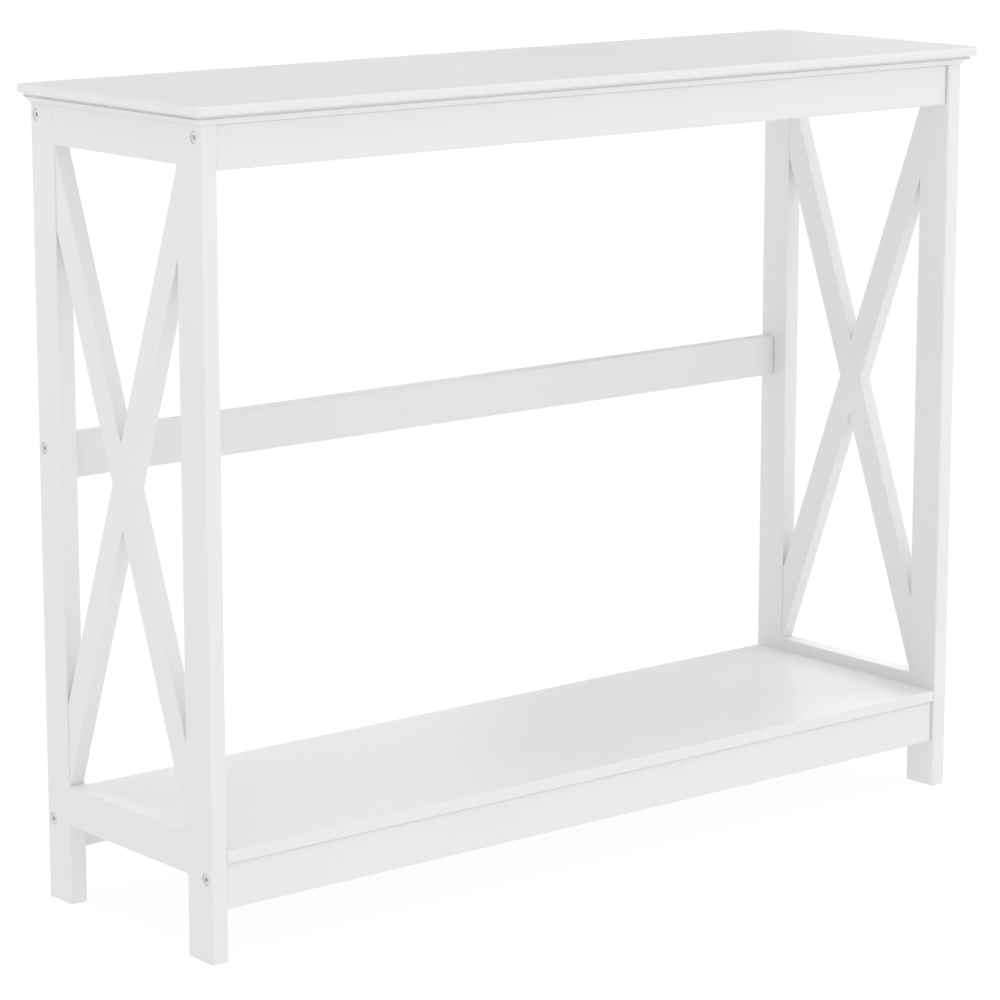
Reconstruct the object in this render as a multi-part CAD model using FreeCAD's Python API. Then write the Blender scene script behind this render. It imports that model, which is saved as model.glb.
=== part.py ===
import FreeCAD, Part
import math
import os

# A console table for a hall: a long narrow top on two end frames, each braced with an X.  Front and
# back aprons join the frames at the top and at the shelf, and a stretcher joins the back legs.  It
# knocks down flat: bolts through the legs pull on barrel nuts in the long boards, and dowels beside
# the bolts keep them from turning.
#
# Millimetres.  +X runs along the table to the right, +Y to the back, +Z up.  The origin is on the
# floor under the middle of the tabletop's outline.  Left and right are as seen from the front.

V = FreeCAD.Vector
X, Y, Z = V(1, 0, 0), V(0, 1, 0), V(0, 0, 1)
SLACK = 0.01               # what counts as the same place when edges are picked

# Overall size
LENGTH = 1000.0
DEPTH = 300.0
HEIGHT = 800.0

# Tabletop: how far it stands out past the legs, and its moulded edge
TOP_THICK = 18.0
END_OVERHANG = 14.5
FRONT_OVERHANG = 15.0
BACK_OVERHANG = 6.0
BAND_HEIGHT = 9.0          # the square band at the top of the moulding
BAND_CORNER_R = 9.0        # its corners, seen from above
BAND_TOP_R = 2.5
BAND_UNDER_R = 4.0
GROOVE_INSET = 8.5         # from the outline to the bottom of the groove under the band
GROOVE_HEIGHT = 3.0
COVE_INSET = 6.5           # from the outline to the cove's upper edge
COVE_SAG = 0.8             # how hollow the cove is

# End frames
LEG_THICK = 18.0           # along X
LEG_WIDE = 39.0            # along Y
TOP_RAIL_HEIGHT = 37.5
LOW_RAIL_BOTTOM = 80.0
LOW_RAIL_HEIGHT = 40.0
BRACE_WIDE = 28.5
BRACE_RECESS = 1.2         # each face of a brace lies this far inside the frame's faces
LEG_ARRIS = 2.0            # softened edges of the legs' front or back faces
FRAME_ARRIS = 0.8          # the same, round the openings
BOARD_ARRIS = 1.5          # the same, on the long boards
APRON_ARRIS = 2.0          # the same, all round an apron's outer face
JOINT_EASE = 0.25          # hairline bevel where a rail's end meets a leg's face
TOP_EASE = 0.3             # bevel round the top of a frame, which leaves a line under the tabletop

# Long boards between the frames
APRON_THICK = 15.0
APRON_RECESS = 3.5         # behind the legs' faces
TOP_APRON_HEIGHT = 42.0
LOW_APRON_BOTTOM = 49.5
LOW_APRON_HEIGHT = 45.0
SHELF_THICK = 12.0
SHELF_FRONT_INSET = 0.5
STRETCHER_THICK = 18.0
STRETCHER_RECESS = 2.0
STRETCHER_BOTTOM = 419.5
STRETCHER_HEIGHT = 43.0

# Fasteners
BOLT_D = 6.0
BOLT_HOLE_D = 6.6
BOLT_HEAD_D = 11.6
BOLT_HEAD_HEIGHT = 4.0
BOLT_HEAD_EASE = 0.5
HEAD_BORE_D = 11.8
HEAD_SUNK = 0.5            # the head's face lies this far below the leg's face
HEX_KEY = 4.0
HEX_DEEP = 1.6
BOLT_EDGE = 10.0           # from the leg's front or back face to the bolt's axis
TOP_BOLT_DOWN = 11.0       # from the board's top edge to the bolt's axis
TOP_DOWEL_DOWN = 31.0      # from the board's top edge to the locating dowel's axis
LOW_BOLT_DOWN = 13.5
LOW_DOWEL_DOWN = 33.5
STRETCHER_BOLT_DOWN = 12.0
STRETCHER_DOWEL_DOWN = 31.0
BOLT_PAST_NUT = 2.0
NUT_REACH = 32.0           # from the board's end to the barrel nut
NUT_D = 10.0
NUT_LONG = 12.0
NUT_BORE_DEEP = 12.6
NUT_SLOT = 1.2
DOWEL_D = 8.0
DOWEL_CLEAR = 1.0          # glue space past each end of a dowel
RAIL_DOWEL_HALF = 15.0
RAIL_DOWEL_PITCH = 18.0
LOCATING_IN_LEG = 12.0
LOCATING_IN_BOARD = 18.0
BRACE_DOWEL_D = 6.0
BRACE_DOWEL_HALF = 11.0
SCREW_D = 4.0
SCREW_HEAD_D = 7.6
SCREW_HEAD_HEIGHT = 2.6
SCREW_BORE_D = 8.4
SCREW_PITCH = 300.0
TOP_SCREW_BORE = 12.0
TOP_SCREW_BITE = 12.0
SHELF_SCREW_BORE = 15.0
SHELF_SCREW_BITE = 9.0

# Planes that the sizes above fix
END = LENGTH / 2 - END_OVERHANG
INNER = END - LEG_THICK
FRAME_MID = END - LEG_THICK / 2
LEG_TOP = HEIGHT - TOP_THICK
FRONT = -DEPTH / 2 + FRONT_OVERHANG
BACK = DEPTH / 2 - BACK_OVERHANG
OPENING_FRONT = FRONT + LEG_WIDE
OPENING_BACK = BACK - LEG_WIDE
OPENING_LOW = LOW_RAIL_BOTTOM + LOW_RAIL_HEIGHT
OPENING_HIGH = LEG_TOP - TOP_RAIL_HEIGHT
LOW_APRON_TOP = LOW_APRON_BOTTOM + LOW_APRON_HEIGHT
TOP_APRON_BOTTOM = LEG_TOP - TOP_APRON_HEIGHT
SHELF_TOP = LOW_APRON_TOP + SHELF_THICK
STRETCHER_TOP = STRETCHER_BOTTOM + STRETCHER_HEIGHT
FRONT_BOLT_Y = FRONT + BOLT_EDGE
BACK_BOLT_Y = BACK - BOLT_EDGE

# Where each long board is bolted: the bolt's height, the locating dowel's height, the y of both, and
# the face that the barrel nut goes in from, as a y and the direction into the wood
APRON_INNER_FRONT = FRONT + APRON_RECESS + APRON_THICK
APRON_INNER_BACK = BACK - APRON_RECESS - APRON_THICK
TOP_BOLT = (LEG_TOP - TOP_BOLT_DOWN, LEG_TOP - TOP_DOWEL_DOWN)
LOW_BOLT = (LOW_APRON_TOP - LOW_BOLT_DOWN, LOW_APRON_TOP - LOW_DOWEL_DOWN)
STRETCHER_BOLT = (STRETCHER_TOP - STRETCHER_BOLT_DOWN, STRETCHER_TOP - STRETCHER_DOWEL_DOWN)
JOINTS = {
    "front_top_apron": (*TOP_BOLT, FRONT_BOLT_Y, APRON_INNER_FRONT, -1),
    "back_top_apron": (*TOP_BOLT, BACK_BOLT_Y, APRON_INNER_BACK, 1),
    "front_low_apron": (*LOW_BOLT, FRONT_BOLT_Y, APRON_INNER_FRONT, -1),
    "back_low_apron": (*LOW_BOLT, BACK_BOLT_Y, APRON_INNER_BACK, 1),
    "back_stretcher": (*STRETCHER_BOLT, BACK_BOLT_Y, BACK - STRETCHER_RECESS, -1),
}


# ---- shapes that every piece uses ----

def box(x0, x1, y0, y1, z0, z1):
    return Part.makeBox(x1 - x0, y1 - y0, z1 - z0, V(x0, y0, z0))


def rod(diameter, start, direction, length):
    return Part.makeCylinder(diameter / 2, length, start, direction)


def cut_all(shape, tools):
    return shape.cut(Part.makeCompound(tools)) if tools else shape


def edges_along(shape, axis):
    """The straight edges of a shape that run along an axis."""
    found = []
    for edge in shape.Edges:
        run = edge.Vertexes[-1].Point - edge.Vertexes[0].Point
        if run.Length > SLACK and run.cross(axis).Length < SLACK:
            found.append(edge)
    return found


def at_height(edge, z):
    """True if an edge lies level, at a height."""
    return abs(edge.BoundBox.ZMin - z) < SLACK and abs(edge.BoundBox.ZMax - z) < SLACK


def mirrored(shape):
    return shape.mirror(V(0, 0, 0), X)


# ---- tabletop ----

def moulding(side, half, overhang):
    """The edge below the band on one side, from the groove's bottom to the leg's face.

    The side is -1 or 1, and half is how far the outline stands from the middle on that side.
    """
    cove_top = HEIGHT - BAND_HEIGHT - GROOVE_HEIGHT
    groove_high = V(side * (half - GROOVE_INSET), HEIGHT - BAND_HEIGHT, 0)
    groove_low = V(groove_high.x, cove_top, 0)
    high = V(side * (half - COVE_INSET), cove_top, 0)
    low = V(side * (half - overhang), LEG_TOP, 0)
    fall = low - high
    hollow = V(-fall.y, fall.x, 0).normalize() * COVE_SAG * -side
    return groove_high, groove_low, high, (high + low) * 0.5 + hollow, low


def moulded_section(half_near, half_far, near_overhang, far_overhang):
    """A face across the lower part of the top, in a plane of (across, z).

    The near side is at -half_near and the far side at +half_far.  A side with no overhang for a
    moulding has None, and is square.
    """
    edges = []
    corners = []
    for side, half, overhang in ((-1, half_near, near_overhang), (1, half_far, far_overhang)):
        if overhang is None:
            top, low = V(side * half, HEIGHT - BAND_HEIGHT, 0), V(side * half, LEG_TOP, 0)
            edges.append(Part.makeLine(top, low))
        else:
            top, groove_low, high, hollow, low = moulding(side, half, overhang)
            edges.append(Part.makeLine(top, groove_low))
            edges.append(Part.makeLine(groove_low, high))
            edges.append(Part.Arc(high, hollow, low).toShape())
        corners.append((top, low))
    edges.append(Part.makeLine(corners[0][0], corners[1][0]))
    edges.append(Part.makeLine(corners[0][1], corners[1][1]))
    return Part.Face(Part.Wire(Part.__sortEdges__(edges)))


def tabletop():
    """A band with rounded corners over a groove and a cove, on the front and both ends."""
    x, y = LENGTH / 2, DEPTH / 2
    band = box(-x, x, -y, y, HEIGHT - BAND_HEIGHT, HEIGHT)
    band = band.makeFillet(BAND_CORNER_R, edges_along(band, Z))
    band = band.makeFillet(BAND_TOP_R, [e for e in band.Edges if at_height(e, HEIGHT)])
    band = band.makeFillet(BAND_UNDER_R, [e for e in band.Edges if at_height(e, HEIGHT - BAND_HEIGHT)])
    along = moulded_section(x, x, END_OVERHANG, END_OVERHANG)
    along.rotate(V(0, 0, 0), X, 90)
    along.translate(V(0, -y, 0))
    lengthwise = along.extrude(V(0, DEPTH - BAND_UNDER_R, 0))
    across = moulded_section(y, y - BAND_UNDER_R, FRONT_OVERHANG, None)
    across.rotate(V(0, 0, 0), V(1, 1, 1), 120)
    across.translate(V(-x, 0, 0))
    crosswise = across.extrude(V(LENGTH, 0, 0))
    top = band.fuse(lengthwise.common(crosswise)).removeSplitter()
    pilots = [rod(SCREW_D, V(sx, sy, LEG_TOP), Z, TOP_SCREW_BITE) for sx, sy in screw_places()]
    return cut_all(top, pilots)


# ---- fasteners ----

def screw_places():
    """Three screws along the middle of the front apron, and three along the back one."""
    rows = (FRONT + APRON_RECESS + APRON_THICK / 2, BACK - APRON_RECESS - APRON_THICK / 2)
    return [(n * SCREW_PITCH, y) for y in rows for n in (-1, 0, 1)]


def wood_screw(x, y, head_z, tip_z):
    """A screw driven upwards, with a countersunk head at the bottom."""
    head = Part.makeCone(SCREW_HEAD_D / 2, SCREW_D / 2, SCREW_HEAD_HEIGHT, V(x, y, head_z), Z)
    shank = rod(SCREW_D, V(x, y, head_z), Z, tip_z - head_z - SCREW_D)
    point = Part.makeCone(SCREW_D / 2, SCREW_D / 8, SCREW_D, V(x, y, tip_z - SCREW_D), Z)
    slot = rod(SCREW_D / 2, V(x, y, head_z), Z, SCREW_HEAD_HEIGHT / 2)
    return head.fuse([shank, point]).removeSplitter().cut(slot)


def screw_bore(x, y, bottom, top, bore_deep):
    """What a screw needs in an apron: a wide bore from below, a hole, and a seat for the head."""
    wide = rod(SCREW_BORE_D, V(x, y, bottom), Z, bore_deep)
    seat_z = bottom + bore_deep
    seat = Part.makeCone(SCREW_HEAD_D / 2, SCREW_D / 2, SCREW_HEAD_HEIGHT, V(x, y, seat_z), Z)
    hole = rod(SCREW_D, V(x, y, bottom), Z, top - bottom)
    return wide.fuse([seat, hole])


def end_bolt(bolt_z, bolt_y):
    """A bolt in the left end: a round head with a hex socket, and a shank into the long board."""
    face = -END + HEAD_SUNK
    shank_end = -INNER + NUT_REACH + NUT_D / 2 + BOLT_PAST_NUT
    head = rod(BOLT_HEAD_D, V(face, bolt_y, bolt_z), X, BOLT_HEAD_HEIGHT)
    rim = [e for e in head.Edges if e.BoundBox.XMax < face + SLACK]
    head = head.makeFillet(BOLT_HEAD_EASE, rim)
    shank = rod(BOLT_D, V(face, bolt_y, bolt_z), X, shank_end - face)
    return head.fuse(shank).removeSplitter().cut(hex_socket(face, bolt_y, bolt_z))


def hex_socket(face, y, z):
    corner_r = HEX_KEY / math.sqrt(3)
    turns = [math.radians(60 * n + 30) for n in range(7)]
    corners = [V(face, y + corner_r * math.cos(t), z + corner_r * math.sin(t)) for t in turns]
    return Part.Face(Part.makePolygon(corners)).extrude(V(HEX_DEEP, 0, 0))


def nut_start(board_name):
    """Where a barrel nut's bore opens in the left end of a long board, and its direction."""
    bolt_z, _, _, mouth, way = JOINTS[board_name]
    return V(-INNER + NUT_REACH, mouth, bolt_z), V(0, way, 0)


def barrel_nut(board_name):
    """A cross dowel: a slotted steel barrel with a threaded hole across it."""
    bolt_z, _, bolt_y, _, _ = JOINTS[board_name]
    start, way = nut_start(board_name)
    start = start + way * (NUT_BORE_DEEP - NUT_LONG)
    barrel = rod(NUT_D, start, way, NUT_LONG)
    thread = rod(BOLT_D, V(-INNER, bolt_y, bolt_z), X, 2 * NUT_REACH)
    slot = box(-NUT_D, NUT_D, 0, NUT_SLOT, -NUT_SLOT / 2, NUT_SLOT / 2)
    if way.y < 0:
        slot.translate(V(0, -NUT_SLOT, 0))
    slot.translate(start)
    return barrel.cut(Part.makeCompound([thread, slot]))


def locating_dowel(board_name):
    _, dowel_z, y, _, _ = JOINTS[board_name]
    start = V(-INNER - LOCATING_IN_LEG, y, dowel_z)
    return rod(DOWEL_D, start, X, LOCATING_IN_LEG + LOCATING_IN_BOARD)


def rail_dowel_places():
    """(seam y, z) of the dowels that hold the two rails of an end frame between its legs."""
    places = []
    for low, high in ((OPENING_HIGH, LEG_TOP), (LOW_RAIL_BOTTOM, OPENING_LOW)):
        middle = (low + high) / 2
        for z in (middle - RAIL_DOWEL_PITCH / 2, middle + RAIL_DOWEL_PITCH / 2):
            places += [(OPENING_FRONT, z), (OPENING_BACK, z)]
    return places


def brace_dowel_places():
    """(seam y, z) of the dowel at each end of each brace: the middle of its end face."""
    half_end = brace_end_height() / 2
    return [(y, z) for y in (OPENING_FRONT, OPENING_BACK)
            for z in (OPENING_LOW + half_end, OPENING_HIGH - half_end)]


def seam_rods(places, diameter, half_length):
    """Rods along Y in the left frame's middle, half in each piece."""
    return [rod(diameter, V(-FRAME_MID, y - half_length, z), Y, 2 * half_length) for y, z in places]


# ---- end frames (the left one; the right one is its mirror image) ----

def frame_bores():
    """Everything that is drilled along Y in an end frame."""
    return (seam_rods(rail_dowel_places(), DOWEL_D, RAIL_DOWEL_HALF + DOWEL_CLEAR)
            + seam_rods(brace_dowel_places(), BRACE_DOWEL_D, BRACE_DOWEL_HALF + DOWEL_CLEAR))


def wedge(start, run, across):
    """A bevel's waste along the top of a frame: a triangle TOP_EASE deep, drawn along a run."""
    ring = [start, start + across * TOP_EASE, start - Z * TOP_EASE, start]
    return Part.Face(Part.makePolygon(ring)).extrude(run)


def top_bevels():
    """The bevels on the outside, front and back of the left frame's top."""
    thick, wide = V(LEG_THICK, 0, 0), V(0, BACK - FRONT, 0)
    return [
        wedge(V(-END, FRONT, LEG_TOP), wide, X),
        wedge(V(-END, FRONT, LEG_TOP), thick, Y),
        wedge(V(-END, BACK, LEG_TOP), thick, -Y),
    ]


def leg_bores(y0, y1):
    """The holes through a leg for its bolts and locating dowels."""
    bores = []
    for bolt_z, dowel_z, y, _, _ in JOINTS.values():
        if y0 < y < y1:
            blind_end = V(-INNER - LOCATING_IN_LEG - DOWEL_CLEAR, y, dowel_z)
            bores.append(rod(HEAD_BORE_D, V(-END, y, bolt_z), X, HEAD_SUNK + BOLT_HEAD_HEIGHT))
            bores.append(rod(BOLT_HOLE_D, V(-END, y, bolt_z), X, LEG_THICK))
            bores.append(rod(DOWEL_D, blind_end, X, LOCATING_IN_LEG + DOWEL_CLEAR))
    return bores


def leg(front):
    """A leg, with its edges softened except where a rail lies flush beside it."""
    y0, y1 = (FRONT, OPENING_FRONT) if front else (OPENING_BACK, BACK)
    shown, hidden = (y0, y1) if front else (y1, y0)
    post = box(-END, -INNER, y0, y1, 0, LEG_TOP)
    for y, radius in ((shown, LEG_ARRIS), (hidden, FRAME_ARRIS)):
        post = post.makeFillet(radius, [e for e in edges_along(post, Z) if abs(e.BoundBox.YMin - y) < SLACK])
    inner0, inner1 = sorted((hidden, (y0 + y1) / 2))
    square = [box(-END, -INNER, inner0, inner1, low, high)
              for low, high in ((LOW_RAIL_BOTTOM, OPENING_LOW), (OPENING_HIGH, LEG_TOP))]
    post = post.fuse(square).removeSplitter()
    return cut_all(post, frame_bores() + leg_bores(y0, y1) + top_bevels())


def rail(bottom, top):
    """A rail between the two legs of an end frame, flush with both faces of the frame."""
    blank = box(-END, -INNER, OPENING_FRONT, OPENING_BACK, bottom, top)
    soft = [e for e in edges_along(blank, Y) if not at_height(e, LEG_TOP)]
    blank = blank.makeFillet(FRAME_ARRIS, soft)
    blank = blank.makeChamfer(JOINT_EASE, edges_along(blank, Z))
    return cut_all(blank, frame_bores() + top_bevels())


def brace_end_height():
    """The height of a brace's end face against the leg.

    A brace fills the opening from corner to corner: its upper edge runs into one corner and its
    lower edge into the other, so its angle follows from its width and the opening's diagonal.
    """
    wide = OPENING_BACK - OPENING_FRONT
    tall = OPENING_HIGH - OPENING_LOW
    lean = math.atan2(wide, tall) + math.asin(BRACE_WIDE / math.hypot(wide, tall))
    return BRACE_WIDE / math.sin(lean)


def brace_blank(high_at_back, x0, x1):
    """A brace before its lap joint is cut, between two planes of x."""
    end = brace_end_height()
    y_low, y_high = (OPENING_FRONT, OPENING_BACK) if high_at_back else (OPENING_BACK, OPENING_FRONT)
    corners = [
        V(x0, y_low, OPENING_LOW),
        V(x0, y_low, OPENING_LOW + end),
        V(x0, y_high, OPENING_HIGH),
        V(x0, y_high, OPENING_HIGH - end),
    ]
    return Part.Face(Part.makePolygon(corners + corners[:1])).extrude(V(x1 - x0, 0, 0))


def braces():
    """The two braces, halved into each other so that both faces of the X are flush."""
    outer, inner = -END + BRACE_RECESS, -INNER - BRACE_RECESS
    pair = [brace_blank(side, outer, inner) for side in (True, False)]
    cross = pair[0].fuse(pair[1]).removeSplitter()
    slanted = [e for e in cross.Edges if e.BoundBox.XLength < SLACK and e.BoundBox.YLength > FRAME_ARRIS]
    cross = cross.makeFillet(FRAME_ARRIS, slanted)
    lap = pair[0].common(pair[1])
    outer_half = box(outer, -FRAME_MID, FRONT, BACK, 0, LEG_TOP)
    inner_half = box(-FRAME_MID, inner, FRONT, BACK, 0, LEG_TOP)
    finished = []
    for blank, half in zip(pair, (outer_half, inner_half)):
        piece = cross.common(blank).cut(lap.common(half))
        finished.append(cut_all(piece, frame_bores()))
    return finished


# ---- long boards ----

def long_board(y0, y1, z0, z1):
    """A board between the end frames, with its long edges and its upright end edges softened."""
    blank = box(-INNER, INNER, y0, y1, z0, z1)
    return blank.makeFillet(BOARD_ARRIS, edges_along(blank, X) + edges_along(blank, Z))


def end_bores(board_name):
    """The bolt, barrel nut and dowel holes in both ends of a long board."""
    bolt_z, dowel_z, y, _, _ = JOINTS[board_name]
    start, way = nut_start(board_name)
    bores = [
        rod(BOLT_HOLE_D, V(-INNER, y, bolt_z), X, NUT_REACH + NUT_D),
        rod(NUT_D, start, way, NUT_BORE_DEEP),
        rod(DOWEL_D, V(-INNER, y, dowel_z), X, LOCATING_IN_BOARD + DOWEL_CLEAR),
    ]
    return bores + [mirrored(b) for b in bores]


def apron(board_name, bottom, top, bore_deep):
    """An apron softened all round its outer face, with bores for the screws of the board above."""
    y0, y1 = APRON_INNER_BACK, BACK - APRON_RECESS
    outer = y1
    if board_name.startswith("front"):
        y0, y1 = FRONT + APRON_RECESS, APRON_INNER_FRONT
        outer = y0
    blank = box(-INNER, INNER, y0, y1, bottom, top)
    round_the_face = edges_along(blank, X) + edges_along(blank, Z)
    soft = [e for e in round_the_face if abs(e.BoundBox.YMin - outer) < SLACK]
    blank = blank.makeFillet(APRON_ARRIS, soft)
    seats = [screw_bore(x, y, bottom, top, bore_deep) for x, y in screw_places() if y0 < y < y1]
    return cut_all(blank, end_bores(board_name) + seats)


def stretcher():
    y1 = BACK - STRETCHER_RECESS
    blank = long_board(y1 - STRETCHER_THICK, y1, STRETCHER_BOTTOM, STRETCHER_TOP)
    return cut_all(blank, end_bores("back_stretcher"))


def shelf():
    """The low shelf lies on its aprons, between the end frames."""
    blank = long_board(FRONT + SHELF_FRONT_INSET, BACK - APRON_RECESS, LOW_APRON_TOP, SHELF_TOP)
    pilots = [rod(SCREW_D, V(x, y, LOW_APRON_TOP), Z, SHELF_SCREW_BITE) for x, y in screw_places()]
    return cut_all(blank, pilots)


# ---- the whole table ----

def end_frame_nodes():
    high_at_back, high_at_front = braces()
    return {
        "front_leg": leg(front=True),
        "back_leg": leg(front=False),
        "top_rail": rail(OPENING_HIGH, LEG_TOP),
        "low_rail": rail(LOW_RAIL_BOTTOM, OPENING_LOW),
        "brace_high_at_back": high_at_back,
        "brace_high_at_front": high_at_front,
        "rail_dowels": seam_rods(rail_dowel_places(), DOWEL_D, RAIL_DOWEL_HALF),
        "brace_dowels": seam_rods(brace_dowel_places(), BRACE_DOWEL_D, BRACE_DOWEL_HALF),
        "end_bolts": [end_bolt(bolt_z, y) for bolt_z, _, y, _, _ in JOINTS.values()],
        "barrel_nuts": [barrel_nut(name) for name in JOINTS],
        "locating_dowels": [locating_dowel(name) for name in JOINTS],
    }


def table_nodes():
    """Every node: one solid, or a list of the separate solids of like fasteners."""
    top_head = TOP_APRON_BOTTOM + TOP_SCREW_BORE
    shelf_head = LOW_APRON_BOTTOM + SHELF_SCREW_BORE
    nodes = {
        "tabletop": tabletop(),
        "front_top_apron": apron("front_top_apron", TOP_APRON_BOTTOM, LEG_TOP, TOP_SCREW_BORE),
        "back_top_apron": apron("back_top_apron", TOP_APRON_BOTTOM, LEG_TOP, TOP_SCREW_BORE),
        "front_low_apron": apron("front_low_apron", LOW_APRON_BOTTOM, LOW_APRON_TOP, SHELF_SCREW_BORE),
        "back_low_apron": apron("back_low_apron", LOW_APRON_BOTTOM, LOW_APRON_TOP, SHELF_SCREW_BORE),
        "back_stretcher": stretcher(),
        "low_shelf": shelf(),
        "top_screws": [wood_screw(x, y, top_head, LEG_TOP + TOP_SCREW_BITE)
                       for x, y in screw_places()],
        "shelf_screws": [wood_screw(x, y, shelf_head, LOW_APRON_TOP + SHELF_SCREW_BITE)
                         for x, y in screw_places()],
    }
    for name, made in end_frame_nodes().items():
        nodes["left_" + name] = made
        nodes["right_" + name] = [mirrored(s) for s in made] if isinstance(made, list) else mirrored(made)
    return nodes


def main():
    os.makedirs("parts", exist_ok=True)
    for name, made in table_nodes().items():
        shape = Part.makeCompound(made) if isinstance(made, list) else made
        solids = shape.Solids
        whole = shape.isValid() and all(s.isClosed() for s in solids)
        print(f"{name:28s} solids {len(solids)}  volume {shape.Volume / 1000:9.2f} cm3  sound {whole}")
        shape.exportStep(f"parts/{name}.step")


main()
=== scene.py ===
# %% [markdown]
# # A white console table
#
# The table is a flat-pack piece of hall furniture: nineteen lacquered boards, beech dowels between
# them, and zinc-plated bolts, barrel nuts and screws that pull them together.  All of its shapes come
# from the CAD model, so this script is about everything else that makes a table look real: the light
# it stands in, the lacquer on its boards, the bare wood of its dowels and the plating on its steel.
#
# Everything is in metres, in the CAD model's own frame: +X runs along the table to the right, +Y to
# the back, +Z up, and the floor is at z = 0.

# %% Load the table
import bpy
import math
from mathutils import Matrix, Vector


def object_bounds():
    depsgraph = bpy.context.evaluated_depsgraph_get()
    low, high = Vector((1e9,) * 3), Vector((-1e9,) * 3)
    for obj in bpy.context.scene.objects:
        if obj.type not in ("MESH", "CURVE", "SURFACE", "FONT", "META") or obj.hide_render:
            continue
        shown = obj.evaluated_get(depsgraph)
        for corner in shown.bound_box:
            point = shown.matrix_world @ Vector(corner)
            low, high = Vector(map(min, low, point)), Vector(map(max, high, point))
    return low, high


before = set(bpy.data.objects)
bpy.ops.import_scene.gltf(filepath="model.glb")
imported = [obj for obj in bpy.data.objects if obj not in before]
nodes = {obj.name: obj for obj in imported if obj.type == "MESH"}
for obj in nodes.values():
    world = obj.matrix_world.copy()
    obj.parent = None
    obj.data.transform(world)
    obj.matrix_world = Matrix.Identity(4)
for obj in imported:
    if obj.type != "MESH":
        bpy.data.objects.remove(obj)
cad_low, cad_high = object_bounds()
middle = (cad_low + cad_high) / 2
print("nodes:", len(nodes), " size:", [round(v, 4) for v in cad_high - cad_low])

# %% [markdown]
# ## The camera
#
# A long lens from nearly four metres away keeps upright edges nearly upright, as furniture pictures
# want.  The camera could be placed by hand and turned until it looks right, but a direction, a distance
# and a point to look at say the same thing in words.  The direction is that of somebody who stands off
# the table's front left corner, with their eyes a little above its top.

# %% Camera
VIEW_AZIMUTH = math.radians(-39.4)       # 0 looks along +Y, and minus is from the table's left
VIEW_ELEVATION = math.radians(11.7)
VIEW_DISTANCE = 3.83
AIM_OFF_MIDDLE = Vector((-0.023, 0.008, -0.041))  # centres the table's outline in the picture
LENS_MM = 135.7
SENSOR_MM = 36.0

towards_camera = Vector((
    math.sin(VIEW_AZIMUTH) * math.cos(VIEW_ELEVATION),
    -math.cos(VIEW_AZIMUTH) * math.cos(VIEW_ELEVATION),
    math.sin(VIEW_ELEVATION),
))
camera_data = bpy.data.cameras.new("camera")
camera_data.lens = LENS_MM
camera_data.sensor_width = SENSOR_MM
camera = bpy.data.objects.new("camera", camera_data)
camera.location = middle + AIM_OFF_MIDDLE + towards_camera * VIEW_DISTANCE
camera.rotation_mode = "QUATERNION"
camera.rotation_quaternion = (-towards_camera).to_track_quat("-Z", "Y")
bpy.context.scene.collection.objects.link(camera)
bpy.context.scene.camera = camera
print("camera at", [round(v, 3) for v in camera.location])

# %% [markdown]
# ## Three helpers
#
# Colours are written as sRGB hex values, which is how a paint chart or a colour picker gives them, but
# the renderer adds up light, so it wants them linear.  One function does that step.  Another empties a
# material or a world, so that it holds only what this script puts there.  The third adds a node and
# connects it in the same call: settings are the node's own options, values go on its sockets, and
# links feed its sockets from other nodes.  What a call leaves out stays as the node comes.

# %% Colour and node helpers
def linear(hex_colour):
    """An sRGB hex colour, such as "#F0EFEC", as linear RGBA."""
    rgb = []
    for start in (1, 3, 5):
        s = int(hex_colour[start:start + 2], 16) / 255
        rgb.append(s / 12.92 if s <= 0.04045 else ((s + 0.055) / 1.055) ** 2.4)
    return (*rgb, 1.0)


def empty_tree(owner):
    """The node tree of a material or world, with nothing in it."""
    owner.use_nodes = True
    owner.node_tree.nodes.clear()
    return owner.node_tree


def add_node(tree, kind, settings=None, values=None, links=None):
    """Adds a node with its settings, the values on its sockets, and what feeds its sockets."""
    node = tree.nodes.new(kind)
    for name, value in (settings or {}).items():
        setattr(node, name, value)
    for socket, value in (values or {}).items():
        node.inputs[socket].default_value = value
    for socket, source in (links or {}).items():
        tree.links.new(source, node.inputs[socket])
    return node


print("the middle grey #808080 is", round(linear("#808080")[0], 3), "of full light")

# %% [markdown]
# ## The white tent
#
# White paint shows only what it reflects, so white furniture is photographed inside a white tent.  Here
# the tent is the world's own light.  It could be the same all round, but then the shelf and the insides
# of the end frames would be nearly as bright as the top.  A tent whose lamps shine on its roof is
# brightest overhead and dims down its walls, and under such a roof the tabletop shades what is below.
#
# A world has no surface to be lit, so its brightness is worked out from where a ray points: the Z of
# its direction is the sine of its elevation.  Just above the floor a skirt of even light takes over.
# It is what the walls pick up from the glowing floor, and it is behind the table in any low view.

# %% White tent
SKIRT_LIGHT = 0.80
SKIRT_FADES = (0.09, 0.22)               # sines of the elevations where the skirt starts to fade and ends
WALL_LIGHT = 0.0                         # what the roof's light has dimmed to at the horizon
ROOF_LIGHT = 1.50

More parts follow.
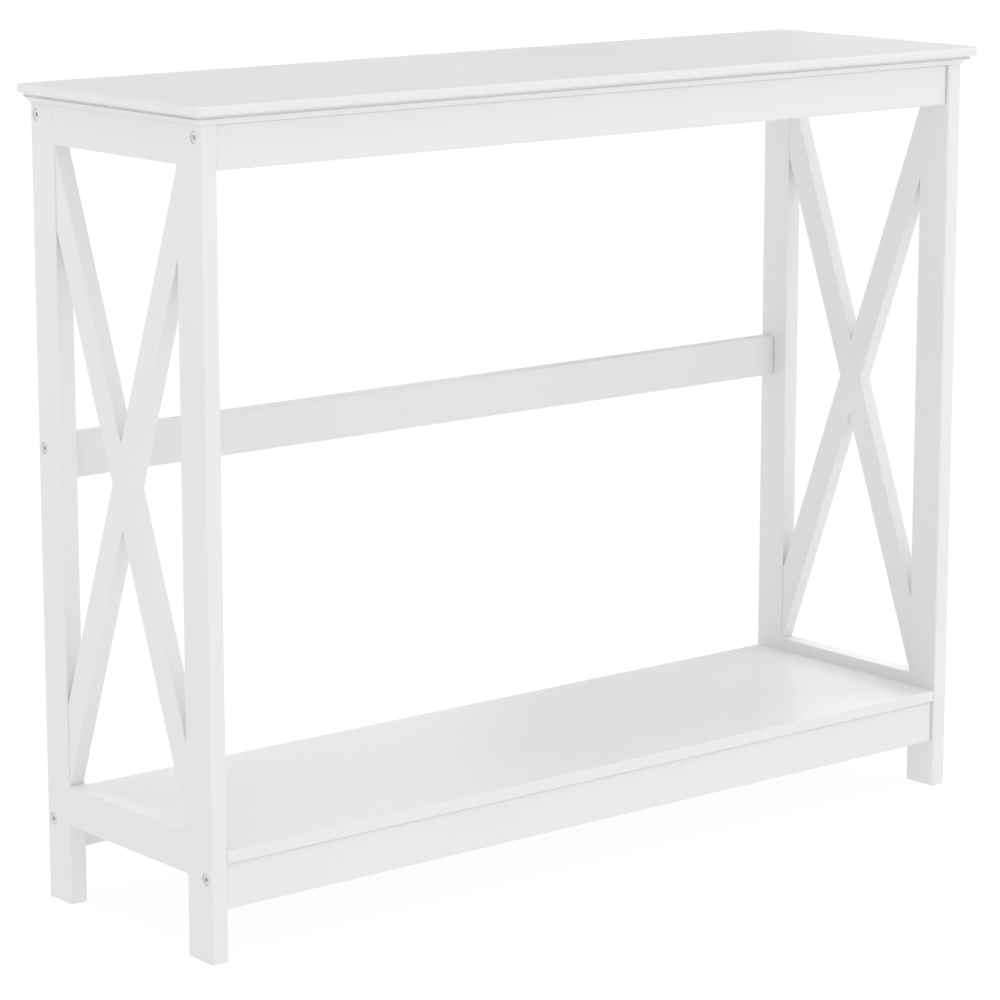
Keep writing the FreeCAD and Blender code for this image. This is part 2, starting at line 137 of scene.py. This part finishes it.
world = bpy.data.worlds.new("white_tent")
bpy.context.scene.world = world
tree = empty_tree(world)
direction = add_node(tree, "ShaderNodeTexCoord")
elevation = add_node(tree, "ShaderNodeSeparateXYZ", links={"Vector": direction.outputs["Generated"]})
wall_to_roof = add_node(tree, "ShaderNodeMapRange",
                        values={"To Min": WALL_LIGHT, "To Max": ROOF_LIGHT},
                        links={"Value": elevation.outputs["Z"]})
skirt = add_node(tree, "ShaderNodeMapRange",
                 values={"From Min": SKIRT_FADES[0], "From Max": SKIRT_FADES[1],
                         "To Min": SKIRT_LIGHT, "To Max": 0.0},
                 links={"Value": elevation.outputs["Z"]})
brightness = add_node(tree, "ShaderNodeMath", settings={"operation": "MAXIMUM"},
                      links={0: wall_to_roof.outputs["Result"], 1: skirt.outputs["Result"]})
tent = add_node(tree, "ShaderNodeBackground", values={"Color": linear("#FFFFFF")},
                links={"Strength": brightness.outputs["Value"]})
add_node(tree, "ShaderNodeOutputWorld", links={"Surface": tent.outputs["Background"]})
print("tent: skirt", SKIRT_LIGHT, " walls", WALL_LIGHT, " roof", ROOF_LIGHT)

# %% [markdown]
# ## The glowing floor
#
# The floor is a sheet of opal acrylic with light under it, which photographers use for goods on pure
# white.  A plain white floor would do, but it would show the table's whole shadow.  Acrylic lit from
# below sends out most of its light itself and scatters little of what falls on it, so the shadow
# nearly goes, and the undersides of the boards are lit as well.

# %% Glowing floor
FLOOR_SIDE = 60.0                        # wide enough to end close to the horizon, even in a low view
FLOOR_GLOW = 0.89                        # with the roof's light on it as well, just past white
ACRYLIC_GREY = "#626262"
ACRYLIC_ROUGHNESS = 0.9

opal_acrylic = bpy.data.materials.new("opal_acrylic_lit_from_below")
tree = empty_tree(opal_acrylic)
acrylic = add_node(tree, "ShaderNodeBsdfPrincipled",
                   values={"Base Color": linear(ACRYLIC_GREY), "Roughness": ACRYLIC_ROUGHNESS,
                           "Specular IOR Level": 0.0,
                           "Emission Color": linear("#FFFFFF"), "Emission Strength": FLOOR_GLOW})
add_node(tree, "ShaderNodeOutputMaterial", links={"Surface": acrylic.outputs["BSDF"]})

half = FLOOR_SIDE / 2
corners = [(-half, -half, 0), (half, -half, 0), (half, half, 0), (-half, half, 0)]
floor_mesh = bpy.data.meshes.new("floor")
floor_mesh.from_pydata(corners, [], [(0, 1, 2, 3)])
floor_mesh.materials.append(opal_acrylic)
floor = bpy.data.objects.new("floor", floor_mesh)
bpy.context.scene.collection.objects.link(floor)
print("floor:", FLOOR_SIDE, "m square, glow", FLOOR_GLOW)

# %% [markdown]
# ## Softboxes
#
# The tent alone would leave the front and the ends of the table the same grey.  A picture of a real
# studio could light them, but lamps that are placed one by one can each be given one job.  The left one
# lifts the outside of the left end frame.  The key stands near the camera and puts a little gloss on
# the rounded edges.  A wide one in front, with a low one under it, lights the aprons, and the right one
# makes them brighter towards that end.  The two small ones behind stand so low that the shelf mirrors
# them, as a pale sheen, and the tabletop hardly does.  All are far larger than a board is thick, so
# that no shadow has a hard edge.

# %% Softboxes
def softbox(name, place, target, width, height, watts):
    """A rectangular area light at a place, facing a target, that the camera doesn't see."""
    data = bpy.data.lights.new(name, "AREA")
    data.shape = "RECTANGLE"
    data.size = width
    data.size_y = height
    data.energy = watts
    light = bpy.data.objects.new(name, data)
    light.location = place
    light.rotation_mode = "QUATERNION"
    light.rotation_quaternion = (Vector(target) - Vector(place)).to_track_quat("-Z", "Y")
    light.visible_camera = False
    bpy.context.scene.collection.objects.link(light)
    print(name, "at", place, "with", watts, "W")


softbox("left_softbox", place=(-1.25, 0.95, 0.95), target=(-0.5, 0.1, 0.7),
        width=1.2, height=1.0, watts=1.2)
softbox("key_softbox", place=(-2.5, -2.0, 1.1), target=(0.0, 0.0, 0.4),
        width=0.8, height=0.8, watts=4.5)
softbox("front_softbox", place=(1.4, -2.8, 1.2), target=(0.3, 0.0, 0.4),
        width=3.4, height=2.2, watts=9.5)
softbox("low_front_softbox", place=(-0.4, -2.4, 0.5), target=(0.0, 0.0, 0.3),
        width=2.4, height=0.6, watts=2.4)
softbox("right_softbox", place=(2.4, -0.6, 1.3), target=(0.4, 0.0, 0.4),
        width=1.9, height=1.9, watts=9.5)
softbox("back_right_softbox", place=(2.15, 1.25, 0.6), target=(0.4, 0.0, 0.1),
        width=0.8, height=0.7, watts=2.4)
softbox("back_left_softbox", place=(0.75, 1.6, 0.62), target=(-0.2, 0.0, 0.1),
        width=0.8, height=0.6, watts=0.8)

# %% [markdown]
# ## White lacquer
#
# The boards are sanded, primed and sprayed with a white satin polyurethane lacquer.  Spraying leaves
# two things for the eye: the film levels into a very shallow ripple, called orange peel, which softens
# reflections, and the grain under the primer still stands up a hair, in streaks along the board.  The
# satin comes from a matting powder in the last coat, so the gloss is not quite even either.
#
# One flat white would nearly do from across a room, but it looks like plastic from close by.  Painted
# maps would have to be fitted to every board.  Noise that fills space needs no fitting, and its scales
# can be real sizes in millimetres.  A board is cut along its grain, so each direction of board needs
# the same pattern turned its own way, and one function makes the lacquer for any direction.

# %% Sprayed white lacquer
MM = 0.001
LACQUER_LIGHT = "#E8E8E8"
LACQUER_SHADE = "#E5E5E5"
LACQUER_IOR = 1.5                        # typical of clear resins
LACQUER_ROUGHNESS = (0.29, 0.35)         # satin: reflections keep their place but lose their edges
CLOUD_MM = 140.0                         # slow drift of tone and gloss over a board
PEEL_MM = 3.0                            # one ripple of orange peel
PEEL_DEPTH_MM = 0.010
GRAIN_ACROSS_MM = 2.2                    # one streak of raised grain; real pores are finer than a pixel
GRAIN_ALONG_MM = 90.0
GRAIN_DEPTH_MM = 0.012
NOISE_REACH = (0.3, 0.7)                 # noise hardly ever leaves this part of its range from 0 to 1


def sprayed_lacquer(name, grain_turn):
    """White satin lacquer over boards whose grain runs along X once turned by these angles."""
    material = bpy.data.materials.new(name)
    tree = empty_tree(material)
    place = add_node(tree, "ShaderNodeTexCoord").outputs["Object"]
    board_seed = add_node(tree, "ShaderNodeObjectInfo").outputs["Random"]
    along_board = add_node(tree, "ShaderNodeMapping", values={"Rotation": grain_turn},
                           links={"Vector": place})
    streaks = add_node(tree, "ShaderNodeMapping",
                       values={"Scale": (GRAIN_ACROSS_MM / GRAIN_ALONG_MM, 1.0, 1.0)},
                       links={"Vector": along_board.outputs["Vector"]})
    grain = add_node(tree, "ShaderNodeTexNoise", settings={"noise_dimensions": "4D"},
                     values={"Scale": 1 / (GRAIN_ACROSS_MM * MM), "Detail": 3.0, "Roughness": 0.6},
                     links={"Vector": streaks.outputs["Vector"], "W": board_seed})
    peel = add_node(tree, "ShaderNodeTexNoise",
                    values={"Scale": 1 / (PEEL_MM * MM), "Detail": 1.0, "Roughness": 0.4},
                    links={"Vector": place})
    cloud = add_node(tree, "ShaderNodeTexNoise", settings={"noise_dimensions": "4D"},
                     values={"Scale": 1 / (CLOUD_MM * MM), "Detail": 4.0, "Roughness": 0.55},
                     links={"Vector": place, "W": board_seed})
    tone = add_node(tree, "ShaderNodeMix", settings={"data_type": "RGBA"},
                    values={"A": linear(LACQUER_SHADE), "B": linear(LACQUER_LIGHT)},
                    links={"Factor": cloud.outputs["Fac"]})
    gloss = add_node(tree, "ShaderNodeMapRange",
                     values={"From Min": NOISE_REACH[0], "From Max": NOISE_REACH[1],
                             "To Min": LACQUER_ROUGHNESS[0], "To Max": LACQUER_ROUGHNESS[1]},
                     links={"Value": cloud.outputs["Fac"]})
    raised_grain = add_node(tree, "ShaderNodeBump",
                            values={"Strength": 1.0, "Distance": GRAIN_DEPTH_MM * MM},
                            links={"Height": grain.outputs["Fac"]})
    film = add_node(tree, "ShaderNodeBump",
                    values={"Strength": 1.0, "Distance": PEEL_DEPTH_MM * MM},
                    links={"Height": peel.outputs["Fac"], "Normal": raised_grain.outputs["Normal"]})
    paint = add_node(tree, "ShaderNodeBsdfPrincipled", values={"IOR": LACQUER_IOR},
                     links={"Base Color": tone.outputs["Result"], "Roughness": gloss.outputs["Result"],
                            "Normal": film.outputs["Normal"]})
    add_node(tree, "ShaderNodeOutputMaterial", links={"Surface": paint.outputs["BSDF"]})
    print(name + ":", len(tree.nodes), "nodes")
    return material


QUARTER = math.pi / 2
lacquer_along_x = sprayed_lacquer("white_lacquer_grain_along_x", (0, 0, 0))
lacquer_along_y = sprayed_lacquer("white_lacquer_grain_along_y", (0, 0, QUARTER))
lacquer_along_z = sprayed_lacquer("white_lacquer_grain_along_z", (0, QUARTER, 0))

# %% [markdown]
# ## Zinc-plated steel
#
# The bolts, barrel nuts and screws are turned or headed from steel wire and then barrel-plated: they
# tumble together in the zinc bath, so their edges stay bright and their faces are dulled by thousands
# of small knocks.  A clear passivation leaves the zinc a pale, faintly blue grey.
#
# The zinc's crystals are far finer than a pixel.  So they are drawn as a coarser mottle, about a tenth
# of a bolt's head across, and where the mottle is bright the plating is a little smoother too.  The
# knocks could be modelled, but nobody could see one by itself, so they are shallow dents in the shading.

# %% Zinc-plated steel
ZINC_BRIGHT = "#E6E6E7"
ZINC_DULL = "#D6D7D8"
ZINC_BRIGHT_ROUGHNESS = 0.45
ZINC_DULL_ROUGHNESS = 0.60
MOTTLE_MM = 1.1
KNOCK_MM = 0.5                           # drawn larger than a real knock
KNOCK_DEPTH_MM = 0.006

zinc = bpy.data.materials.new("zinc_plated_steel")
tree = empty_tree(zinc)
place = add_node(tree, "ShaderNodeTexCoord").outputs["Object"]
mottle = add_node(tree, "ShaderNodeTexNoise",
                  values={"Scale": 1 / (MOTTLE_MM * MM), "Detail": 3.0, "Roughness": 0.6},
                  links={"Vector": place})
knocks = add_node(tree, "ShaderNodeTexVoronoi", settings={"feature": "SMOOTH_F1"},
                  values={"Scale": 1 / (KNOCK_MM * MM), "Smoothness": 0.6},
                  links={"Vector": place})
plating = add_node(tree, "ShaderNodeMix", settings={"data_type": "RGBA"},
                   values={"A": linear(ZINC_DULL), "B": linear(ZINC_BRIGHT)},
                   links={"Factor": mottle.outputs["Fac"]})
dullness = add_node(tree, "ShaderNodeMapRange",
                    values={"From Min": NOISE_REACH[0], "From Max": NOISE_REACH[1],
                            "To Min": ZINC_DULL_ROUGHNESS, "To Max": ZINC_BRIGHT_ROUGHNESS},
                    links={"Value": mottle.outputs["Fac"]})
dents = add_node(tree, "ShaderNodeBump",
                 values={"Strength": 1.0, "Distance": KNOCK_DEPTH_MM * MM},
                 links={"Height": knocks.outputs["Distance"]})
steel = add_node(tree, "ShaderNodeBsdfPrincipled", values={"Metallic": 1.0},
                 links={"Base Color": plating.outputs["Result"], "Roughness": dullness.outputs["Result"],
                        "Normal": dents.outputs["Normal"]})
add_node(tree, "ShaderNodeOutputMaterial", links={"Surface": steel.outputs["BSDF"]})
print(zinc.name + ":", len(tree.nodes), "nodes")

# %% [markdown]
# ## Bare beech
#
# Dowels are turned from beech and left bare, so that glue can soak in.  Beech is a pale, warm tan, with
# short darker flecks along the grain that make it easy to tell from other woods, and turning leaves it
# a little fuzzy rather than smooth.  Growth rings could be built as nested cylinders, but a piece as
# thin as a dowel shows only a few of their lines, so gently bent bands are enough.
#
# The flecks are 1 to 3 mm long on the real wood, and so they are here.  Some dowels lie along X and the
# others along Y.  All of them share one pattern, stretched along X, because the boards hide them once
# the table is together.

# %% Bare beech
BEECH_PALE = "#DDBF97"
BEECH_WARM = "#C99F73"
BEECH_FLECK = "#A97C52"
BEECH_IOR = 1.5
BEECH_ROUGHNESS = 0.62
BEECH_RING_MM = 2.4
WAVE_PERIOD = math.pi / 10               # length of one band of the wave texture when its scale is 1
FLECK_LONG_MM = 2.5
FLECK_WIDE_MM = 0.4
FLECK_DEPTH_MM = 0.02
FLECK_EDGES = (0.56, 0.66)               # noise levels where a fleck starts to show and where it is full

beech = bpy.data.materials.new("bare_beech")
tree = empty_tree(beech)
place = add_node(tree, "ShaderNodeTexCoord").outputs["Object"]
rings = add_node(tree, "ShaderNodeTexWave", settings={"wave_type": "BANDS", "bands_direction": "Z"},
                 values={"Scale": WAVE_PERIOD / (BEECH_RING_MM * MM), "Distortion": 2.0, "Detail": 2.0,
                         "Detail Scale": 0.5},
                 links={"Vector": place})
stretched = add_node(tree, "ShaderNodeMapping",
                     values={"Scale": (FLECK_WIDE_MM / FLECK_LONG_MM, 1.0, 1.0)},
                     links={"Vector": place})
flecks = add_node(tree, "ShaderNodeTexNoise",
                  values={"Scale": 1 / (FLECK_WIDE_MM * MM), "Detail": 2.0},
                  links={"Vector": stretched.outputs["Vector"]})
fleck_mask = add_node(tree, "ShaderNodeMapRange",
                      values={"From Min": FLECK_EDGES[0], "From Max": FLECK_EDGES[1]},
                      links={"Value": flecks.outputs["Fac"]})
early_late = add_node(tree, "ShaderNodeMix", settings={"data_type": "RGBA"},
                      values={"A": linear(BEECH_PALE), "B": linear(BEECH_WARM)},
                      links={"Factor": rings.outputs["Fac"]})
flecked = add_node(tree, "ShaderNodeMix", settings={"data_type": "RGBA"},
                   values={"B": linear(BEECH_FLECK)},
                   links={"A": early_late.outputs["Result"], "Factor": fleck_mask.outputs["Result"]})
fuzz = add_node(tree, "ShaderNodeBump",
                values={"Strength": 1.0, "Distance": FLECK_DEPTH_MM * MM},
                links={"Height": flecks.outputs["Fac"]})
wood = add_node(tree, "ShaderNodeBsdfPrincipled",
                values={"IOR": BEECH_IOR, "Roughness": BEECH_ROUGHNESS},
                links={"Base Color": flecked.outputs["Result"], "Normal": fuzz.outputs["Normal"]})
add_node(tree, "ShaderNodeOutputMaterial", links={"Surface": wood.outputs["BSDF"]})
print(beech.name + ":", len(tree.nodes), "nodes")

# %% [markdown]
# ## Which piece gets which finish
#
# Finishes could be handed out one piece at a time, but every piece already has a name that says what it
# is.  So one function reads the name.  Fasteners and dowels come first, because some of their names
# name a board as well, such as left_rail_dowels.  The slanting braces share the legs' upright grain:
# under white lacquer nobody can tell.

# %% Give every node its finish
def finish_of(name):
    """The material of a piece, from the words in its name."""
    if "bolts" in name or "nuts" in name or "screws" in name:
        return zinc
    if "dowels" in name:
        return beech
    if "leg" in name or "brace" in name:
        return lacquer_along_z
    if "rail" in name:
        return lacquer_along_y
    return lacquer_along_x


pieces_by_finish = {}
for name, node in nodes.items():
    finish = finish_of(name)
    node.data.materials.clear()
    node.data.materials.append(finish)
    pieces_by_finish.setdefault(finish.name, []).append(name)
for finish_name, names in pieces_by_finish.items():
    print(finish_name + ":", len(names), "nodes")

# %% [markdown]
# ## How light becomes colour
#
# A view transform turns amounts of light into the colours of a picture.  The film-like ones bend bright
# light down to grey, which suits a sunlit room but makes a white table on a white floor look dirty.
# The standard one shows full light as pure white, which is what a catalogue picture wants.

# %% Colour management
view = bpy.context.scene.view_settings
view.view_transform = "Standard"
print("view transform:", view.view_transform)
